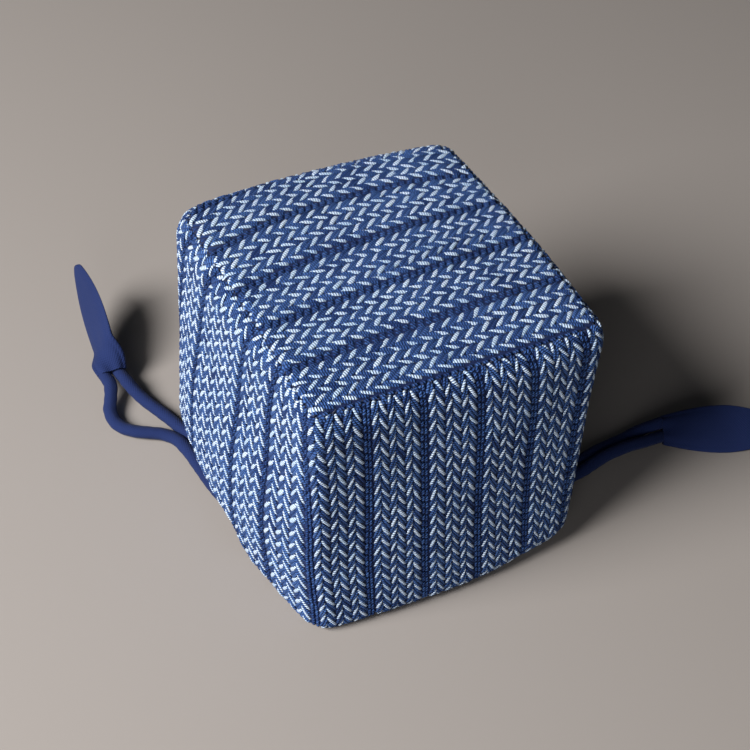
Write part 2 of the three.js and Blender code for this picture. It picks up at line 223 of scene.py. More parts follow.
def between(a, b, c, d, t):
    """A smooth curve from b to c, with a before them and d after them."""
    return (
        b * (2 * t**3 - 3 * t**2 + 1) + (c - a) / 2 * (t**3 - 2 * t**2 + t)
        + c * (3 * t**2 - 2 * t**3) + (d - b) / 2 * (t**3 - t**2)
    )


# ---- meshes

def in_scene(name, data):
    made = bpy.data.objects.new(name, data)
    bpy.context.scene.collection.objects.link(made)
    return made


def piece(name, points, faces, sizes, material, corner_uv, tone=None):
    """A piece of the bag: faces is one flat run of point numbers, and sizes is how many each face takes."""
    mesh = bpy.data.meshes.new(name)
    mesh.vertices.add(len(points))
    mesh.vertices.foreach_set("co", ((points - MIDDLE_OF_BAG) * MM).astype(np.float32).ravel())
    mesh.loops.add(len(faces))
    mesh.loops.foreach_set("vertex_index", faces.astype(np.int32))
    mesh.polygons.add(len(sizes))
    mesh.polygons.foreach_set("loop_start", (np.cumsum(sizes) - sizes).astype(np.int32))
    mesh.polygons.foreach_set("use_smooth", np.ones(len(sizes), bool))
    mesh.uv_layers.new(name="cloth").uv.foreach_set("vector", corner_uv.astype(np.float32).ravel())
    if tone is not None:
        mesh.attributes.new("tone", "FLOAT", "POINT").data.foreach_set("value", tone.astype(np.float32))
    mesh.update(calc_edges=True)
    mesh.validate()
    mesh.materials.append(material)
    made = in_scene(name, mesh)
    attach(made, "root")
    return made


def ring_faces(rings, sides, closed=False):
    """Quads over rings of points numbered in turn, and from the last ring to the first if closed."""
    ring, side = np.meshgrid(np.arange(rings if closed else rings - 1), np.arange(sides), indexing="ij")
    after, near, far = (side + 1) % sides, ring * sides, (ring + 1) % rings * sides
    return np.stack((near + side, far + side, far + after, near + after), -1).reshape(-1, 4)


def closed_rings(rings, sides, count=1):
    """A closed tube's quads, and the faces of count such tubes with their ends: point numbers, and sizes."""
    quads = ring_faces(rings, sides)
    ring = np.arange(sides)
    caps = np.concatenate((ring, (ring + (rings - 1) * sides)[::-1]))
    base = (np.arange(count) * rings * sides)[:, None]
    faces = np.concatenate(((quads.ravel() + base).ravel(), (caps + base).ravel()))
    return quads, faces, np.concatenate((np.full(len(quads) * count, 4), np.full(2 * count, sides)))


def run_along(points):
    """Distance along the points from the first one, down the first axis."""
    run = np.cumsum(np.linalg.norm(np.diff(points, axis=0), axis=-1), 0)
    return np.concatenate((np.zeros_like(run[:1]), run))


def tubes(name, centres, ups, half_width, half_height, profile, material,
          tones=None, girth=1.0, start=0.0):
    """Closed tubes in one piece: centres and ups are [tube, station, xyz], profile the section's points.

    girth is how far the cloth's second coordinate runs round each tube, and start where its first begins.
    """
    count, stations, _ = centres.shape
    sides = len(profile)
    along = unit(np.gradient(centres, axis=1))
    across = unit(np.cross(along, ups))
    out = np.cross(across, along)
    wide, high = (np.broadcast_to(half, (count, stations))[:, :, None] for half in (half_width, half_height))
    offset = (
        across[:, :, None] * (wide * profile[:, 0])[..., None]
        + out[:, :, None] * (high * profile[:, 1])[..., None]
    )
    points = (centres[:, :, None] + offset).reshape(-1, 3)
    points[:, 2] = np.maximum(points[:, 2], TABLE_GAP)
    quads, faces, sizes = closed_rings(stations, sides, count)
    station, side = np.divmod(quads, sides)
    turned = np.where((side == 0) & (np.arange(4) >= 2), 1.0, side / sides)
    u = run_along(centres.swapaxes(0, 1)).T[:, station] + np.broadcast_to(start, count)[:, None, None]
    v = turned[None] * np.broadcast_to(girth, count)[:, None, None]
    uv = np.concatenate((np.stack((u, v), -1).reshape(-1, 2), np.zeros((2 * sides * count, 2))))
    tone = None if tones is None else np.repeat(tones, stations * sides)
    return piece(name, points, faces, sizes, material, uv, tone)


def oval(sides):
    angles = 2 * np.pi * np.arange(sides) / sides
    return np.stack((np.cos(angles), np.sin(angles)), -1)


# Section of two strands side by side.
TWIN = np.array((
    (1.0, -0.1), (0.87, 0.7), (0.48, 1.0), (0.13, 0.6), (0.0, 0.0),
    (-0.13, 0.6), (-0.48, 1.0), (-0.87, 0.7), (-1.0, -0.1), (0.0, -0.9),
))

# ---- the bag's surface

def section_at(z):
    """The walls' section at each height in z, read smoothly between the rows of the table."""
    last = len(SECTIONS) - 1
    place = np.clip(np.asarray(z) / SEAM_HEIGHT * last, 0, last)
    row = np.minimum(place.astype(int), last - 1)
    rows = (SECTIONS[np.clip(row + step, 0, last)] for step in (-1, 0, 1, 2))
    return between(*rows, (place - row)[..., None, None])


def outline(section, s):
    """Points in plan at places s round a section, 0 to 4, a whole number in the middle of each corner."""
    s = np.asarray(s, float) % 4
    section = np.broadcast_to(section, s.shape + (4, 4))
    side = s.astype(int) % 4
    along = s - np.floor(s)

    def corner(step):
        return np.take_along_axis(section, ((side + step) % 4)[..., None, None], -2)[..., 0, :]

    def rounded(before, tip, after, radius, t):
        radius, t = radius[..., None], t[..., None]
        a, b = tip + unit(before - tip) * radius, tip + unit(after - tip) * radius
        return a * (1 - t) ** 2 + tip * 2 * (1 - t) * t + b * t * t

    before, start, end, after = (corner(step) for step in (3, 0, 1, 2))
    bulge, arc0, arc1 = start[..., 3], HALF_ARC * start[..., 2], HALF_ARC * end[..., 2]
    r0, r1 = start[..., 2], end[..., 2]
    before, start, end, after = (p[..., :2] for p in (before, start, end, after))
    way = unit(end - start)
    total = np.linalg.norm(end - start, axis=-1) - (1 - HALF_ARC) * (r0 + r1)
    run = along * total
    straight = start + way * (r0 + run - arc0)[..., None]
    first = rounded(before, start, end, r0, 0.5 + 0.5 * np.clip(run / arc0, 0, 1))
    last = rounded(start, end, after, r1, 0.5 * np.clip((run - total + arc1) / arc1, 0, 1))
    point = np.where((run > total - arc1)[..., None], last, straight)
    point = np.where((run < arc0)[..., None], first, point)
    outward = np.stack((way[..., 1], -way[..., 0]), -1)
    return point + outward * (bulge * 4 * along * (1 - along))[..., None]


def bottom_edge(s):
    side = s.astype(int) % 4
    along = s - np.floor(s)
    near = np.where(along < 0.5, BOTTOM_EDGE[side, 0], BOTTOM_EDGE[(side + 1) % 4, 0])
    share = (1 + np.cos(2 * np.pi * along)) / 2
    return BOTTOM_EDGE[side, 1] * (1 - share) + near * share


def lift_off(s):
    height = np.zeros_like(s)
    for place, half_width, rise in LIFTS:
        apart = s - place
        apart -= 4 * np.round(apart / 4)
        height += rise * smooth((1 - np.abs(apart) / half_width) / LIFT_FLANK)
    return height


def foot_of(s):
    """The walls' bottom edge: its lift, radius and height, and its way and distance from the mouth."""
    lift, radius = lift_off(s), bottom_edge(s)
    foot = outline(section_at(lift + radius), s) - MOUTH
    return lift, radius, lift + radius, unit(foot), np.linalg.norm(foot, axis=-1)


def line_places(depth):
    """Where the plain lines lie round the bag at a depth below the seam, the first one again at the end."""
    places = np.array([np.interp(depth, LINE_DEPTHS, line[:4]) for line in STRIP_LINES])
    return np.append(places, places[0] + 4)


def stripe_share(s, depth):
    """The stripe that each place s lies in, and how far across it."""
    places = line_places(depth)
    s = (s - places[0]) % 4 + places[0]
    stripe = np.clip(np.searchsorted(places, s, "right") - 1, 0, len(places) - 2)
    return stripe, (s - places[stripe]) / (places[stripe + 1] - places[stripe])


def puff(share):
    """Height of the cloth across a stripe: its plain lines lie a little lower."""
    return LINE_DIP * (smooth(np.minimum(share, 1 - share) / DIP_SHARE) - 1)


class StripSkin:
    """The strip's outer face as a grid of points, by place round the bag and depth below the seam."""

    STEPS = 320
    DEPTH_STEP = 0.5

    def __init__(self):
        s = np.arange(self.STEPS) * 4 / self.STEPS
        grid = np.stack(self.wall_rows(s))
        run = run_along(grid)
        self.end = run[-1]
        depths = np.arange(0, run[-1].max(), self.DEPTH_STEP)
        even = np.empty((len(depths), self.STEPS, 3))
        for column, axis in np.ndindex(self.STEPS, 3):
            even[:, column, axis] = np.interp(depths, run[:, column], grid[:, column, axis])
        normals = self.normals_of(even)
        height = np.stack([puff(stripe_share(s, depth)[1]) for depth in depths]) - SINK
        height += 0.35 * np.sin(s * 9.1 + 1.3) * np.sin(depths / 13 + 0.7)[:, None]
        height *= smooth(depths / 4)[:, None]
        self.points = even + normals * height[..., None]
        self.normals = self.normals_of(self.points)

    @staticmethod
    def normals_of(grid):
        around = np.roll(grid, -1, 1) - np.roll(grid, 1, 1)
        down = np.gradient(grid, axis=0)
        return unit(np.cross(down, around))

    @staticmethod
    def wall_rows(s):
        seam_edge = outline(SEAM, s)
        lift, radius, wall_foot, way, reach = foot_of(s)
        rows = []
        for angle in np.linspace(0, np.pi / 2, 9):
            z = np.full_like(s, WALL_TOP + SHOULDER * np.cos(angle))
            rows.append(with_height(seam_edge + (outline(section_at(z), s) - seam_edge) * np.sin(angle), z))
        for share in np.linspace(0, 1, 41)[1:]:
            z = WALL_TOP + (wall_foot - WALL_TOP) * share
            rows.append(with_height(outline(section_at(z), s), z))
        flat = reach - radius
        for angle in np.linspace(0, np.pi / 2, 9)[1:]:
            plan = MOUTH + way * (flat + radius * np.cos(angle))[:, None]
            rows.append(with_height(plan, wall_foot - radius * np.sin(angle)))
        rows.append(with_height(MOUTH + way * (flat - FOOT_WIDTH)[:, None], lift))
        return rows

    def at(self, s, depth):
        column = (s % 4) * self.STEPS / 4
        row = np.clip(depth / self.DEPTH_STEP, 0, len(self.points) - 1.001)
        c0, r0 = np.floor(column).astype(int), row.astype(int)
        fc, fr = (column - c0)[..., None], (row - r0)[..., None]
        c0, c1 = c0 % self.STEPS, (c0 + 1) % self.STEPS

        def read(table):
            above = table[r0, c0] * (1 - fc) + table[r0, c1] * fc
            below = table[r0 + 1, c0] * (1 - fc) + table[r0 + 1, c1] * fc
            return above * (1 - fr) + below * fr

        return read(self.points), unit(read(self.normals))


class PanelSkin:
    """The panel's upper face, by place in x and y."""

    def __init__(self):
        rim = outline(SEAM, np.arange(800) / 200) - PANEL_CENTRE
        angle = np.arctan2(rim[:, 1], rim[:, 0])
        order = np.argsort(angle)
        self.angles, self.radii = angle[order], np.linalg.norm(rim, axis=-1)[order]
        self.lines = [np.polyfit(PANEL_LINE_PLACES, line, 3) for line in PANEL_LINES]

    def rim(self, x, y):
        """Distance from the panel's middle, and the rim's own in that direction."""
        dx, dy = x - PANEL_CENTRE[0], y - PANEL_CENTRE[1]
        return np.hypot(dx, dy), np.interp(np.arctan2(dy, dx), self.angles, self.radii, period=2 * np.pi)

    def held_in(self, x, y, inset):
        """The same places, those beyond the rim's inset brought back to it."""
        r, rim = self.rim(x, y)
        share = np.minimum(1.0, (rim - inset) / np.maximum(r, 1e-6))
        return tuple(middle + (place - middle) * share for middle, place in zip(PANEL_CENTRE, (x, y)))

    def line_y(self, line, x):
        return np.polyval(self.lines[line], x)

    def lines_at(self, x):
        return np.stack([self.line_y(line, x) for line in range(len(PANEL_LINES))])

    def height(self, x, y):
        r, rim = self.rim(x, y)
        inset = np.maximum(rim - r, 0)
        z = SEAM_HEIGHT + PANEL_PUFF - 1.5 * np.exp(-inset / 1.3)
        z += PANEL_CROWN * smooth(inset / rim / 0.7)
        nearest = np.abs(self.lines_at(x) - y).min(0)
        z += LINE_DIP * (smooth(nearest / 2.6) - 1) * smooth(inset / 4)
        z += 0.25 * np.sin(x / 9 + 1) * np.sin(y / 11 + 2) * smooth(inset / 9)
        return z - SINK * smooth(inset / 3)

    def at(self, x, y):
        step = 0.2
        z = self.height(x, y)
        slope_x = (self.height(x + step, y) - self.height(x - step, y)) / (2 * step)
        slope_y = (self.height(x, y + step) - self.height(x, y - step)) / (2 * step)
        return np.stack((x, y, z), -1), unit(np.stack((-slope_x, -slope_y, np.ones_like(x)), -1))


strip_skin = StripSkin()
panel_skin = PanelSkin()
dice = np.random.default_rng(17)

# ---- camera

CAMERA_AIM = Vector((0.76, 0.93, 39.3))
CAMERA_DISTANCE = 420.0
CAMERA_ANGLES = (-30.618, 45.439, 4.992)  # azimuth, elevation and roll, in degrees
CAMERA_LENS = 72.0


def set_camera():
    azimuth, elevation, roll = (math.radians(angle) for angle in CAMERA_ANGLES)
    back = Vector((
        math.sin(azimuth) * math.cos(elevation),
        -math.cos(azimuth) * math.cos(elevation),
        math.sin(elevation),
    ))
    level = Vector((0, 0, 1)).cross(back).normalized()
    upright = back.cross(level)
    right = level * math.cos(roll) + upright * math.sin(roll)
    up = upright * math.cos(roll) - level * math.sin(roll)
    lens = bpy.data.cameras.new("camera")
    lens.lens = CAMERA_LENS
    lens.clip_start = 0.01
    camera = in_scene("camera", lens)
    camera.matrix_world = Matrix.Translation((CAMERA_AIM + back * CAMERA_DISTANCE) * MM) @ Matrix(
        (right, up, back)
    ).transposed().to_4x4()
    bpy.context.scene.camera = camera


# ---- materials

def node_group(name, inputs, outputs):
    """A group, its inputs, a maker of math nodes in it, and what puts a value out; None means a vector."""
    group = bpy.data.node_groups.new(name, "ShaderNodeTree")
    for label, value in inputs.items():
        kind = "NodeSocketVector" if value is None else "NodeSocketFloat"
        socket = group.interface.new_socket(name=label, in_out="INPUT", socket_type=kind)
        if value is not None:
            socket.default_value = value
    for label in outputs:
        group.interface.new_socket(name=label, in_out="OUTPUT", socket_type="NodeSocketFloat")
    given, made = group.nodes.new("NodeGroupInput").outputs, group.nodes.new("NodeGroupOutput").inputs

    def put(label, value):
        group.links.new(value, made[label])

    return group, given, partial(math_node, group), put


def set_up(node, values):
    for label, value in values.items():
        node.inputs[label].default_value = value


def feed(tree, socket, value):
    """A number or a colour goes onto the socket itself, and another node's output is linked to it."""
    if isinstance(value, bpy.types.NodeSocket):
        tree.links.new(value, socket)
    else:
        socket.default_value = (*value, 1.0) if isinstance(value, tuple) else value


def math_node(tree, operation, *values, clamp=False):
    node = tree.nodes.new("ShaderNodeMath")
    node.operation = operation
    node.use_clamp = clamp
    for socket, value in zip(node.inputs, values):
        feed(tree, socket, value)
    return node.outputs[0]


def mixed(tree, factor, first, second):
    node = tree.nodes.new("ShaderNodeMix")
    node.data_type = "RGBA"
    for socket, value in (("Factor", factor), (6, first), (7, second)):
        feed(tree, node.inputs[socket], value)
    return node.outputs[2]


def parted(group, place):
    """The first two coordinates of a place on the cloth."""
    split = group.nodes.new("ShaderNodeSeparateXYZ")
    group.links.new(place, split.inputs[0])
    return split.outputs[0], split.outputs[1]


def twist_group():
    """Plies of a twisted yarn, from millimetres along it and turns round it, and where shade is painted
    between the plies and between a doubled yarn's two strands.
    """
    group, given, calc, put = node_group(
        "yarn_twist", {"Place": None, "Pitch": 0.5, "Turns": 1.0}, ("Height", "Groove", "Valley")
    )
    along, around = parted(group, given["Place"])
    turn = calc("ADD", calc("DIVIDE", along, given["Pitch"]), calc("MULTIPLY", around, given["Turns"]))
    ply = calc("MULTIPLY_ADD", calc("SINE", calc("MULTIPLY", turn, 2 * math.pi)), 0.5, 0.5)
    put("Height", calc("POWER", ply, 0.6))
    # Painted shade in the grooves between the plies.
    put("Groove", calc("POWER", calc("SUBTRACT", 1.0, ply), 1.3))
    # Painted shade where a doubled yarn's two strands meet: the middle of its upper face, four tenths of the
    # way round it either way.
    apart = calc("ABSOLUTE", calc("SUBTRACT", calc("ABSOLUTE", around), 0.4))
    put("Valley", calc("SUBTRACT", 1.0, calc("DIVIDE", apart, 0.11), clamp=True))
    return group


def fuzz_group():
    """Loose fibres on a yarn: fine noise in the object's own space."""
    group, given, calc, put = node_group("fibre_fuzz", {"Size": 0.5}, ("Height", "Patch"))
    place = group.nodes.new("ShaderNodeTexCoord").outputs["Object"]
    fine = calc("DIVIDE", 1.0 / MM, given["Size"])
    for label, scale, detail in (("Height", fine, 3.0), ("Patch", 60.0, 2.0)):
        noise = group.nodes.new("ShaderNodeTexNoise")
        group.links.new(place, noise.inputs["Vector"])
        feed(group, noise.inputs["Scale"], scale)
        noise.inputs["Detail"].default_value = detail
        put(label, noise.outputs[0])
    return group


def herringbone_group():
    """Columns of slanted stitches and a plain line between stripes, by stripes across and stitches along."""
    group, given, calc, put = node_group("herringbone", {"Place": None}, ("Stitch", "Height"))
    stripes, along = parted(group, given["Place"])
    share = calc("SUBTRACT", calc("FRACT", stripes), LINE_SHARE / 2)
    scaled = calc("MULTIPLY", share, USUAL_COLUMNS / (1 - LINE_SHARE))
    odd = calc("ABSOLUTE", calc("MODULO", calc("FLOOR", scaled), 2.0))
    way = calc("MULTIPLY_ADD", odd, -2.0, 1.0)
    across = calc("SUBTRACT", calc("FRACT", scaled), 0.5)
    slanted = calc("MULTIPLY", calc("MULTIPLY", across, way), 0.8)
    phase = calc("ADD", calc("ADD", along, calc("MULTIPLY", odd, STAGGER)), slanted)
    bar = calc("SUBTRACT", 1.0, calc("MULTIPLY", calc("PINGPONG", phase, 0.5), 4.0), clamp=True)
    inside = calc("MULTIPLY", calc("GREATER_THAN", scaled, 0.0), calc("LESS_THAN", scaled, USUAL_COLUMNS))
    edge = calc("POWER", calc("MULTIPLY", calc("ABSOLUTE", across), 2.0), 6.0)
    ends = calc("SUBTRACT", 1.0, edge, clamp=True)
    stitch = calc("MULTIPLY", calc("MULTIPLY", bar, inside), ends)
    put("Stitch", calc("MULTIPLY", stitch, 2.2, clamp=True))
    cord = calc("MULTIPLY", calc("SUBTRACT", 1.0, inside), calc("PINGPONG", along, 0.25))
    lobes = calc("ABSOLUTE", calc("SINE", calc("MULTIPLY", phase, 2 * math.pi)))
    put("Height", calc("MULTIPLY_ADD", calc("MULTIPLY", lobes, ends), inside, cord))
    return group


def thread_group():
    """A close plain weave, from millimetres along and across the cloth."""
    group, given, calc, put = node_group("thread_weave", {"Place": None, "Pitch": 0.4}, ("Height",))
    along, across = (
        calc("SINE", calc("DIVIDE", calc("MULTIPLY", way, math.pi), given["Pitch"]))
        for way in parted(group, given["Place"])
    )
    put("Height", calc("MULTIPLY_ADD", calc("MULTIPLY", along, across), 0.5, 0.5))
    return group


groups = {
    "twist": twist_group(), "fuzz": fuzz_group(),
    "herringbone": herringbone_group(), "thread": thread_group(),
}


def placed(tree, name, **values):
    """One of the groups above, placed in a material with its own values."""
    node = tree.nodes.new("ShaderNodeGroup")
    node.node_tree = groups[name]
    for label, value in values.items():
        feed(tree, node.inputs[label], value)
    return node.outputs


def cloth_material(name, roughness, sheen, specular=0.25):
    """A material's nodes, a maker of math nodes among them, and what gives it its colour and relief."""
    made = bpy.data.materials.new(name)
    made.use_nodes = True
    tree = made.node_tree
    tree.nodes.clear()
    shader = tree.nodes.new("ShaderNodeBsdfPrincipled")
    set_up(shader, {
        "Roughness": roughness, "Sheen Weight": sheen, "Sheen Roughness": 0.5, "Specular IOR Level": specular,
    })
    tree.links.new(shader.outputs[0], tree.nodes.new("ShaderNodeOutputMaterial").inputs[0])

    def finish(colour, height, depth):
        """depth is in millimetres."""
        bump = tree.nodes.new("ShaderNodeBump")
        bump.inputs["Distance"].default_value = depth * MM
        tree.links.new(height, bump.inputs["Height"])
        tree.links.new(bump.outputs[0], shader.inputs["Normal"])
        tree.links.new(colour, shader.inputs["Base Color"])
        return made

    return tree, partial(math_node, tree), finish


def cloth_place(tree):
    node = tree.nodes.new("ShaderNodeUVMap")
    node.uv_map = "cloth"
    return node.outputs[0]


def tone_of(tree):
    node = tree.nodes.new("ShaderNodeAttribute")
    node.attribute_name = "tone"
    return node.outputs["Fac"]


def yarn_material(name, light, dark, groove_shade, turns, depth, sheen, fleck, valley_shade=0.0):
    """Twisted cotton yarn of two tones, flecked, with painted shade between its plies and between its two
    strands.
    """
    tree, calc, finish = cloth_material(name, 0.85, sheen, 0.12)
    twist = placed(tree, "twist", Place=cloth_place(tree), Pitch=PLY_PITCH, Turns=turns)
    fuzz = placed(tree, "fuzz", Size=0.5)
    tone = calc("MULTIPLY_ADD", fuzz["Patch"], 0.5, tone_of(tree))
    tone = calc("MULTIPLY_ADD", calc("SUBTRACT", fuzz["Height"], 0.5), fleck, tone)
    ply = mixed(tree, calc("SUBTRACT", tone, 0.25, clamp=True), dark, light)
    # Painted shade in the grooves between plies, and between the two strands of a doubled yarn.
    painted_shade = calc("MULTIPLY", twist["Groove"], 0.8)
    if valley_shade:
        painted_shade = calc("MAXIMUM", painted_shade, calc("MULTIPLY", twist["Valley"], valley_shade))
    relief = calc("MULTIPLY_ADD", fuzz["Height"], 0.35, twist["Height"])
    return finish(mixed(tree, painted_shade, ply, groove_shade), relief, depth)


def ground_material(name, stitch_colour, yarn_colour, gap_shade_colour):
    """The woven ground: seen between the raised yarns, and as a whole under the bag and inside it."""
    tree, calc, finish = cloth_material(name, 0.9, 0.05)
    weave = placed(tree, "herringbone", Place=cloth_place(tree))
    fuzz = placed(tree, "fuzz", Size=0.6)
    # Painted shade: the gap colour darkens the ground where its weave lies low.
    under = mixed(tree, calc("MULTIPLY", weave["Height"], fuzz["Height"]), gap_shade_colour, yarn_colour)
    showing = calc("MULTIPLY", weave["Stitch"], tone_of(tree))
    relief = calc("MULTIPLY_ADD", fuzz["Height"], 0.3, weave["Height"])
    return finish(mixed(tree, showing, under, stitch_colour), relief, 0.35)


def navy_material(name, light, dark):
    """Plain navy cotton, a little lighter in random patches, with painted shade between the raised threads of
    its weave.
    """
    tree, calc, finish = cloth_material(name, 0.85, 0.04, 0.15)
    weave = placed(tree, "thread", Place=cloth_place(tree), Pitch=0.42)
    fuzz = placed(tree, "fuzz", Size=1.1)
    # Lighter in random patches, and painted shade: darker where the weave lies low between its threads.
    patches_and_thread_shade = calc("MULTIPLY", calc("ADD", fuzz["Patch"], weave["Height"]), 0.5)
    relief = calc("MULTIPLY_ADD", fuzz["Height"], 0.5, weave["Height"])
    return finish(mixed(tree, patches_and_thread_shade, dark, light), relief, 0.12)


def thread_material(name, light, dark):
    tree, _, finish = cloth_material(name, 0.7, 0.2)
    twist = placed(tree, "twist", Place=cloth_place(tree), Pitch=0.35, Turns=1.0)
    # Painted shade in the grooves between the thread's plies.
    return finish(mixed(tree, twist["Groove"], light, dark), twist["Height"], 0.08)


white_yarn = yarn_material(
    "white_yarn", light=(0.74, 0.83, 0.91), dark=(0.50, 0.65, 0.80), groove_shade=(0.07, 0.15, 0.36),
    turns=1.4, depth=0.32, sheen=0.1, fleck=0.6,
)
blue_yarn = yarn_material(
    "blue_yarn", light=(0.060, 0.140, 0.370), dark=(0.012, 0.038, 0.145), groove_shade=(0.002, 0.007, 0.042),
    turns=1.7, depth=0.3, sheen=0.03, fleck=1.8, valley_shade=0.9,
)
# Its last colour is the painted shade where the weave lies low.
ground_cloth = ground_material(
    "ground_cloth", (0.58, 0.66, 0.74), (0.020, 0.055, 0.180), (0.003, 0.010, 0.055)
)
navy_cotton = navy_material("navy_cotton", (0.015, 0.028, 0.105), (0.007, 0.014, 0.060))
seam_thread = thread_material("seam_thread", (0.012, 0.018, 0.06), (0.004, 0.006, 0.02))


# ---- drawstrings and pulls

def through(route, steps):
    """A smooth line through a route's points, with an even number of steps between them."""
    points = np.array(route, float)
    ahead = np.vstack((2 * points[0] - points[1], points, 2 * points[-1] - points[-2]))
    t = (np.arange(steps) / steps)[:, None]
    parts = [between(*four, t) for four in zip(ahead, ahead[1:], ahead[2:], ahead[3:])]
    return np.vstack((*parts, points[-1:]))


def strand(node):
    """A cord of folded navy cloth, a little flat, with its sewn edge as a low ridge along one side."""
    line = through(ROUTES[node], 6)
    line = np.vstack((line, line[-1] + unit(line[-1] - line[-2]) * REACH_IN * np.array((0.5, 1.0))[:, None]))
    sides = 20
    angle = 2 * np.pi * np.arange(sides) / sides
    ridge = 1 + 0.1 * np.exp(-(((angle - 0.35) / 0.3) ** 2)) - 0.07 * np.exp(-(((angle - 0.85) / 0.25) ** 2))
    run = run_along(line)
    wrinkle = 1 + 0.03 * np.sin(run * 1.9) + 0.02 * np.sin(run * 0.83 + 2)
    made = tubes(
        node + "_cloth", line[None], np.broadcast_to((0.0, 0.0, 1.0), (1, *line.shape)),
        (CORD / 2 * 0.98) * wrinkle, (CORD / 2 * 0.84) / wrinkle,
        oval(sides) * ridge[:, None], navy_cotton, girth=np.pi * CORD,
    )
    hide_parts(node)
    return made, line, run[-1]


def leaf(node):
    """A leaf-shaped pull: two layers of navy cloth folded over the strands' ends and sewn round the edge."""
    base, along, across, twist = (np.array(value, float) for value in PULLS[node])
    way = unit(along)
    side = unit(across - way * across.dot(way))
    face = np.cross(way, side)
    sides, stations = 48, 76
    # The first four rings turn the base in round the strands.
    t = np.concatenate(((0.03, 0.012, 0.0, 0.006), np.linspace(0.015, 1, stations - 4)))
    hem = np.concatenate(((0.8, 0.86, 0.95, 1.0), np.ones(stations - 4)))
    swell = LEAF_BASE + (LEAF_WIDTH - LEAF_BASE) * np.sin(np.pi * np.minimum(t, 0.5))
    past = np.maximum(t * 2 - 1, 0)
    blunt = 0.5 + 0.5 * np.sqrt(1 - np.clip((t - 0.95) / 0.05, 0, 1) ** 2)
    half_width = swell / 2 * (1 - LEAF_TAPER * past**2) * blunt * hem
    thick = (LEAF_THICK + (LEAF_THIN - LEAF_THICK) * smooth(t / THIN_BY)) / 2 * hem
    turn = twist * smooth(t / TURNED_BY)
    sides_way = np.cos(turn)[:, None] * side + np.sin(turn)[:, None] * face
    faces_way = np.cross(way, sides_way)
    cosine, sine = oval(sides).T
    x = np.sign(cosine) * np.abs(cosine) ** 0.8
    # A full middle, a pressed line just inside the sewn edge, and a soft hollow down the middle.
    full = sine * (1 - 0.3 * np.exp(-(((np.abs(x) - 0.8) / 0.06) ** 2)))
    hollow = 0.1 * np.exp(-((x / 0.2) ** 2))
    y = full * (1 - hollow * smooth((t[:, None] - 0.05) / 0.2))
    # At the base the cloth follows the two strands inside it.
    y = y * (1 - 0.3 * np.exp(-((t / 0.1) ** 2))[:, None] * (np.cos(2 * np.pi * x) + 1) / 2)
    bend = LEAF_BEND * np.sin(t * 2.4 + 0.4)
    points = (
        base
        + way * (t * LEAF_LENGTH)[:, None, None]
        + sides_way[:, None] * (half_width[:, None] * x)[..., None]
        + faces_way[:, None] * (thick[:, None] * y + (bend - bend[0])[:, None])[..., None]
    ).reshape(-1, 3)
    points[:, 2] = np.maximum(points[:, 2], TABLE_GAP)
    quads, faces, sizes = closed_rings(stations, sides)
    station, place = np.divmod(quads, sides)
    uv = np.concatenate((
        np.stack((t[station] * LEAF_LENGTH, half_width[station] * x[place]), -1).reshape(-1, 2),
        np.zeros((2 * sides, 2)),
    ))
    made = piece(node + "_cloth", points, faces, sizes, navy_cotton, uv)
    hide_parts(node)
    return made


def drawstrings():
    for side in ("left", "right"):
        pull = leaf(side + "_leaf_pull")
        for which in ("outer", "inner"):
            made, line, length = strand(f"{side}_drawstring_{which}")


# ---- the padded cloth

def panel_ground():
    """The base panel's own cloth, closed below."""
    steps = 320
    rim = outline(SEAM, np.arange(steps) * 4 / steps)
    reach = np.linalg.norm(rim - PANEL_CENTRE, axis=-1)

    def drawn_in(share):
        return rim + (PANEL_CENTRE - rim) * share

    rings = [drawn_in(share) for share in (0.93, 0.8, 0.65, 0.5, 0.36, 0.24, 0.16, 0.1, 0.06)]
    rings += [drawn_in((inset / reach)[:, None]) for inset in (2.4, 1.6, 1.0, PANEL_GAP + 0.1)]
    top = [panel_skin.at(ring[:, 0], ring[:, 1])[0] for ring in rings]
    edge = drawn_in((PANEL_GAP / reach)[:, None])
    inner = SEAM_HEIGHT + PANEL_PUFF - CLOTH
    below = [
        with_height(edge, SEAM_HEIGHT - SEAM_DROP - 0.4),
        with_height(edge, SEAM_HEIGHT - CLOTH),
        with_height(drawn_in(0.4), inner),
        with_height(drawn_in(0.93), inner + 0.4),
    ]
    points = np.stack((*top, *below))
    _, faces, sizes = closed_rings(len(points), steps)
    flat = points.reshape(-1, 3)
    lines = panel_skin.lines_at(flat[:, 0])
    stripe = np.clip((flat[:, 1] > lines[1:-1]).sum(0), 0, len(PANEL_LINES) - 2)
    each = np.arange(len(flat))
    share = (flat[:, 1] - lines[stripe, each]) / (lines[stripe + 1, each] - lines[stripe, each])
    uv = np.stack((stripe + np.clip(share, 0.001, 0.999), flat[:, 0] / PANEL_PITCH), -1)[faces]
    made = piece("base_panel_cloth", flat, faces, sizes, ground_cloth, uv, np.zeros(len(flat)))
    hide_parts("base_panel")
    return made


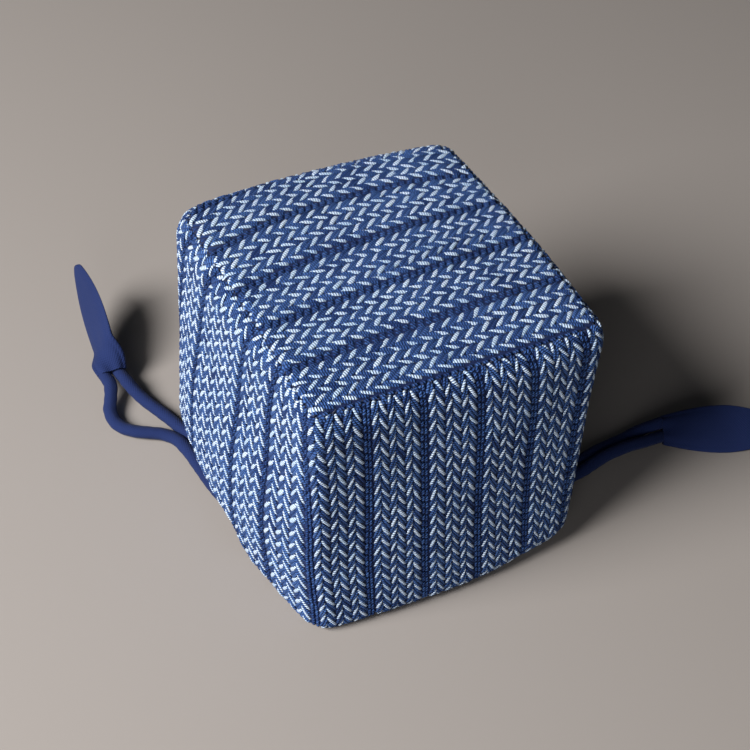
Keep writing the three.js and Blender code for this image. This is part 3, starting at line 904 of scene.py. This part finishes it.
def strip_ground():
    """The side strip's own cloth: the walls, the gathers under the bag, the neck, and the inner face."""
    steps = 320
    s = np.arange(steps) * 4 / steps
    lift, radius, wall_foot, way, reach = foot_of(s)
    foot_end = reach - radius - FOOT_WIDTH
    gather = np.cos(2 * np.pi * PLEATS_PER_SIDE * s)
    crisp = np.sign(gather) * np.abs(gather) ** 0.7

    def from_mouth(distance, z):
        return with_height(MOUTH + way * np.broadcast_to(distance, reach.shape)[:, None], z)

    def slope(share, up):
        distance = foot_end + (NECK_RADIUS + 3 - foot_end) * share
        fold = crisp * PLEAT_RISE * smooth(share * 1.4 - 0.2)
        return from_mouth(distance, lift + (RECESS - lift) * smooth(share * 2.2) + fold + up)

    flat_end = strip_skin.end - FOOT_WIDTH
    turn_start = flat_end - radius * np.pi / 2
    even = (*np.arange(0, FINE_DEPTH, 0.8), *np.arange(FINE_DEPTH, WALL_DEPTH, 2.0))
    depths = [np.full_like(s, depth) for depth in even]
    depths += [WALL_DEPTH + (turn_start - WALL_DEPTH) * share for share in np.linspace(0, 1, 12)]
    depths += [turn_start + (flat_end - turn_start) * share for share in np.linspace(0, 1, 12)[1:]]
    depths.append(strip_skin.end - 0.6)
    wall = [strip_skin.at(s, depth)[0] for depth in depths]
    for row in wall:
        row[:, 2] = np.maximum(row[:, 2], CLOTH_GAP)
    ripple = NECK_RADIUS + crisp * NECK_RIPPLE
    under = [slope(share, 0.0) for share in np.linspace(0.06, 1, 16)]
    neck = [from_mouth(ripple + out, z) for out, z in NECK_SECTION]
    within = [slope(share, PLEAT_CLOTH) for share in (1.0, 0.75, 0.45)]
    inner_radius = np.maximum(radius - CLOTH, LEAST_INNER_RADIUS)
    within += [
        slope(0.2, CLOTH),
        from_mouth(foot_end, lift + CLOTH),
        from_mouth(reach - radius, wall_foot - inner_radius),
    ]
    for share in (0.95, 0.7, 0.45, 0.2, 0.0):
        z = WALL_TOP + (wall_foot - WALL_TOP) * share
        rim = outline(section_at(z), s)
        within.append(with_height(rim + unit(MOUTH - rim) * CLOTH, z))
    within.append(with_height(outline(SEAM, s), SEAM_HEIGHT - SEAM_DROP - CLOTH))

    points = np.stack((*wall, *under, *neck, *within))
    count = len(points)
    pitch = np.mean(STRIP_PITCH)
    run = run_along(points) / pitch
    across = np.empty((count, steps))
    for row in range(count):
        stripe, share = stripe_share(s, min(run[row].mean() * pitch, LINE_DEPTHS[-1]))
        across[row] = stripe + np.clip(share, 0.001, 0.999)
    quads = ring_faces(count, steps, closed=True)
    # In a quad that closes the round, the last stripe's corners are counted back from the first stripe.
    u = across.ravel()[quads]
    u = np.where(u - u.min(1, keepdims=True) > 10, u - len(STRIP_LINES), u)
    uv = np.stack((u, run.ravel()[quads]), -1).reshape(-1, 2)
    # The ground's own stitches show only where no raised ones lie on it.
    shows = np.zeros((count, steps))
    shows[len(wall) : len(wall) + len(under) + len(neck)] = 1.0
    made = piece("side_strip_cloth", points.reshape(-1, 3), quads.ravel(), np.full(len(quads), 4),
                 ground_cloth, uv, shows.ravel())
    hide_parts("side_strip")
    return made


# ---- the stitches

Yarn = namedtuple("Yarn", "material profile half_width half_height rise shift")
# A single white yarn, and a double blue one half a spacing further on.
WHITE = Yarn(white_yarn, oval(7), half_width=0.42, half_height=0.30, rise=0.24, shift=0.0)
BLUE = Yarn(blue_yarn, TWIN, half_width=0.77, half_height=0.34, rise=0.16, shift=0.5)


def slant(kinds):
    """How far each yarn of a slanted stitch runs across its column and along it, and its relative width."""
    across = np.sin(0.9 * ALONG_YARN) / np.sin(0.9)
    span, reach, wide = STITCH_RUNS[kinds].T
    jitter = dice.normal(0, 0.05, len(kinds))
    return across * (reach / 2 * (1 + jitter))[:, None], ALONG_YARN * (span / 2 * (1 - jitter))[:, None], wide


def toned(usual, spread, count):
    """A tone for each yarn, from dark at 0 to light at 1 and a little over."""
    return np.clip(dice.normal(usual, spread, count), 0, 1.2)


def laid(yarn, points, ups, past, wide, way, where):
    """Pieces of one yarn, each of those that where gives for its name, tucked in past the seam's edge."""
    count, t = len(wide), np.abs(ALONG_YARN)
    lift = yarn.rise * (1 - t**3.2) - 0.42 * t**6 + dice.normal(0, 0.04, (count, 1))
    uneven = 1 + dice.normal(0, 0.1, (count, 1)) + dice.normal(0, 0.06, (count, len(t)))
    thick = yarn.half_width * wide[:, None] * YARN_TAPER * uneven
    tones = toned(0.62, 0.22, count)
    tuck = (0.0, 0.0, 1.0) * (SEAM_TUCK * np.maximum(past, 0))[..., None]
    centres = points - tuck + ups * lift[..., None]
    return [
        tubes(name, centres[on], ups[on], thick[on], yarn.half_height * YARN_TAPER, yarn.profile,
              yarn.material, tones[on], way[on], dice.uniform(0, PLY_PITCH, on.sum()))
        for name, on in where.items()
    ]


def strip_pitch(depth):
    """Spacing of the walls' stitches at a depth below the seam."""
    top, foot = STRIP_PITCH
    return top + (foot - top) * min(max(depth, 0) / LINE_DEPTHS[-1], 1.0)


def strip_stitches():
    """The slanted yarns of the walls: stripe, share of it, column's width, depth, way and spacing of each."""
    rows = [-2.0]
    while rows[-1] < strip_skin.end.max():
        rows.append(rows[-1] + strip_pitch(rows[-1]))
    rows = np.array(rows)
    spacing = np.gradient(rows)
    found = []
    for stripe, line in enumerate(STRIP_LINES):
        columns = line[4]
        edge = LINE_SHARE / 2 * USUAL_COLUMNS / columns
        width = (1 - 2 * edge) / columns
        drift = dice.uniform(-0.5, 0.5)
        for column in range(columns):
            shift = drift - STAGGER * (column % 2) + dice.normal(0, 0.04)
            depth = rows + shift * spacing + dice.normal(0, 0.1, len(rows))
            found.append(np.stack(np.broadcast_arrays(
                stripe, edge + (column + 0.5) * width, width, depth, 1 - 2 * (column % 2), spacing
            ), -1))
    return np.concatenate(found)


def strip_place(stripe, share, depth):
    """Places round the bag, from a share of each stripe and a depth below the seam."""
    tables = np.array([line[:4] for line in (*STRIP_LINES, STRIP_LINES[0])])
    tables[-1] += 4
    low, high = np.empty_like(depth), np.empty_like(depth)
    for number in range(len(STRIP_LINES)):
        here = stripe == number
        low[here] = np.interp(depth[here], LINE_DEPTHS, tables[number])
        high[here] = np.interp(depth[here], LINE_DEPTHS, tables[number + 1])
    return low + (high - low) * share


def end_at(s):
    """Depth at which the walls have turned under, at places s."""
    column = ((s % 4) * StripSkin.STEPS / 4).astype(int) % StripSkin.STEPS
    return strip_skin.end[column] - FOOT_WIDTH - 1.2


def wall_yarns(name, stitches, yarn):
    """One colour of yarn over the walls, in a piece for each side."""
    stripe, share, width, down, way, spacing = stitches.T
    on_left = strip_place(stripe, share, down) % 4 > 3
    across, along, wide = slant((way < 0) + 2 * on_left)
    shares = share[:, None] + across * width[:, None]
    depths = (down + yarn.shift * spacing)[:, None] - way[:, None] * along * spacing[:, None]
    s = strip_place(np.broadcast_to(stripe[:, None], shares.shape), shares, depths)
    keep = (depths[:, MIDDLE] > -PAST_SEAM) & (depths[:, MIDDLE] < end_at(s[:, MIDDLE]))
    s, depths, way, wide = s[keep], depths[keep], way[keep], wide[keep]
    points, ups = strip_skin.at(s, np.maximum(depths, SEAM_EDGE))
    wall = (s[:, MIDDLE] % 4).astype(int)
    where = {f"{label}_{name}": wall == side for side, label in enumerate(("front", "right", "back", "left"))}
    return laid(yarn, points, ups, SEAM_EDGE - depths, wide, way, where)


def panel_yarns(name, yarn):
    """One colour of yarn over the panel."""
    found = []
    count = int(PANEL_SPAN / PANEL_PITCH)
    width = (1 - LINE_SHARE) / USUAL_COLUMNS
    for stripe in range(len(PANEL_LINES) - 1):
        for column in range(USUAL_COLUMNS):
            start = dice.normal(0, 0.05) + PANEL_STAGGER * (column % 2) + 0.35 * stripe + yarn.shift
            x = (np.arange(count) + start) * PANEL_PITCH - PANEL_SPAN / 2 + dice.normal(0, 0.1, count)
            found.append(np.stack(np.broadcast_arrays(
                stripe, LINE_SHARE / 2 + (column + 0.5) * width, x, 1 - 2 * (column % 2)
            ), -1))
    stripe, share, x, way = np.concatenate(found).T
    across, along, wide = slant((way < 0) + 4)
    xs = x[:, None] + along * PANEL_PITCH * way[:, None]
    lines = panel_skin.lines_at(xs)
    number, each = stripe.astype(int), np.arange(len(x))
    low, high = lines[number, each], lines[number + 1, each]
    ys = high - (high - low) * (share[:, None] - across * width)
    r, rim = panel_skin.rim(xs, ys)
    keep = (r < rim + PAST_SEAM)[:, MIDDLE]
    points, ups = panel_skin.at(*panel_skin.held_in(xs[keep], ys[keep], SEAM_EDGE))
    past = (r - rim)[keep] + SEAM_EDGE
    return laid(yarn, points, ups, past, wide[keep], -way[keep], {name: np.ones(len(points), bool)})[0]


def rib_lumps(material):
    """The low lumps of yarn that make up the plain lines: two rows of them side by side."""
    centres, normals = [], []
    t = np.linspace(-1, 1, 5)
    rise = (0.22 * (1 - t**4) - 0.12 * np.abs(t) ** 4)[:, None]

    def add(point, up):
        centres.append(point + up * rise)
        normals.append(up)

    for line in STRIP_LINES:
        depth = 0.2
        while depth < LUMPS_DOWN_TO:
            pitch = strip_pitch(depth) / 2
            for row in (-1, 1):
                run = depth + t * pitch * LUMP_SHARE + 0.25 * row
                s = np.interp(run, LINE_DEPTHS, line[:4]) + row * LUMP_OFF_LINE[0] + dice.normal(0, 0.0006)
                if depth < end_at(s[2:3])[0]:
                    add(*strip_skin.at(s, np.maximum(run, SEAM_EDGE)))
            depth += pitch
    pitch = PANEL_PITCH / 2
    for number in range(len(PANEL_LINES)):
        x = -LUMPS_WITHIN
        while x < LUMPS_WITHIN:
            for row in (-1, 1):
                xs = x + t * pitch * LUMP_SHARE + 0.2 * row
                ys = panel_skin.line_y(number, xs) + row * LUMP_OFF_LINE[1] + dice.normal(0, 0.04)
                r, rim = panel_skin.rim(xs[2], ys[2])
                if r < rim - 0.1:
                    add(*panel_skin.at(*panel_skin.held_in(xs, ys, SEAM_EDGE)))
            x += pitch
    taper = 1 - 0.4 * np.abs(t) ** 3
    return tubes("plain_line_yarns", np.array(centres), np.array(normals), 0.52 * taper, 0.4 * taper, oval(6),
                 material, toned(0.4, 0.25, len(centres)))


def seam_stitches():
    """Small dark stitches across the base seam."""
    spacing, length, slant_by = 2.4, 1.2, 0.5
    s = np.arange(0, 4, 0.01)
    rim = outline(SEAM, s)
    run = run_along(rim)
    places = np.interp(np.arange(0, run[-1], spacing), run, s)
    rim = outline(SEAM, places)[:, None]
    inward = unit(PANEL_CENTRE - rim)
    ahead = unit(outline(SEAM, places + 0.01)[:, None] - rim)
    t = np.linspace(-1, 1, 5)
    lines = rim + inward * (0.1 + t * length / 2)[None, :, None] + ahead * (t * slant_by / 2)[None, :, None]
    centres = with_height(lines, SEAM_HEIGHT - SEAM_DROP + 0.15 + 0.25 * t**2)
    ups = np.broadcast_to((0.0, 0.0, 1.0), centres.shape)
    return tubes("base_seam_stitches", centres, ups, 0.24, 0.2, oval(6), seam_thread)


def bag():
    panel = panel_ground()
    strip = strip_ground()
    walls = strip_stitches()
    white = wall_yarns("white_stitches", walls, WHITE)
    blue = wall_yarns("blue_stitches", walls, BLUE)
    top_white = panel_yarns("panel_white_stitches", WHITE)
    top_blue = panel_yarns("panel_blue_stitches", BLUE)
    ribs = rib_lumps(blue_yarn)
    seam = seam_stitches()


# ---- floor and light

FLOOR_HALF = 1.6  # half its side, in metres


def table():
    mesh = bpy.data.meshes.new("floor")
    corners = [(x * FLOOR_HALF, y * FLOOR_HALF, 0) for x, y in ((-1, -1), (1, -1), (1, 1), (-1, 1))]
    mesh.from_pydata(corners, [], [(0, 1, 2, 3)])
    paint = bpy.data.materials.new("floor_paint")
    paint.use_nodes = True
    shader = paint.node_tree.nodes["Principled BSDF"]
    set_up(shader, {"Base Color": (0.31, 0.273, 0.246, 1), "Roughness": 0.9, "Specular IOR Level": 0.1})
    mesh.materials.append(paint)
    in_scene("floor", mesh)


def lamp(name, place, target, size, power, colour):
    data = bpy.data.lights.new(name, "AREA")
    data.shape = "DISK"
    data.size = size
    data.energy = power
    data.color = colour
    made = in_scene(name, data)
    made.location = place
    made.rotation_euler = (Vector(target) - Vector(place)).to_track_quat("-Z", "Y").to_euler()


def light():
    lamp("window", (-0.85, -0.04, 0.70), (0, 0, 0.03), size=0.55, power=23.6, colour=(0.96, 0.98, 1.0))
    lamp("front_softbox", (-0.50, -0.66, 0.30), (0, 0, 0.04), size=0.5, power=2.1, colour=(0.93, 0.96, 1.0))
    world = bpy.data.worlds.new("room")
    world.use_nodes = True
    set_up(world.node_tree.nodes["Background"], {"Color": (0.80, 0.88, 1.0, 1), "Strength": 0.03})
    bpy.context.scene.world = world
    bpy.context.scene.view_settings.view_transform = "Standard"


set_camera()
drawstrings()
bag()
table()
light()
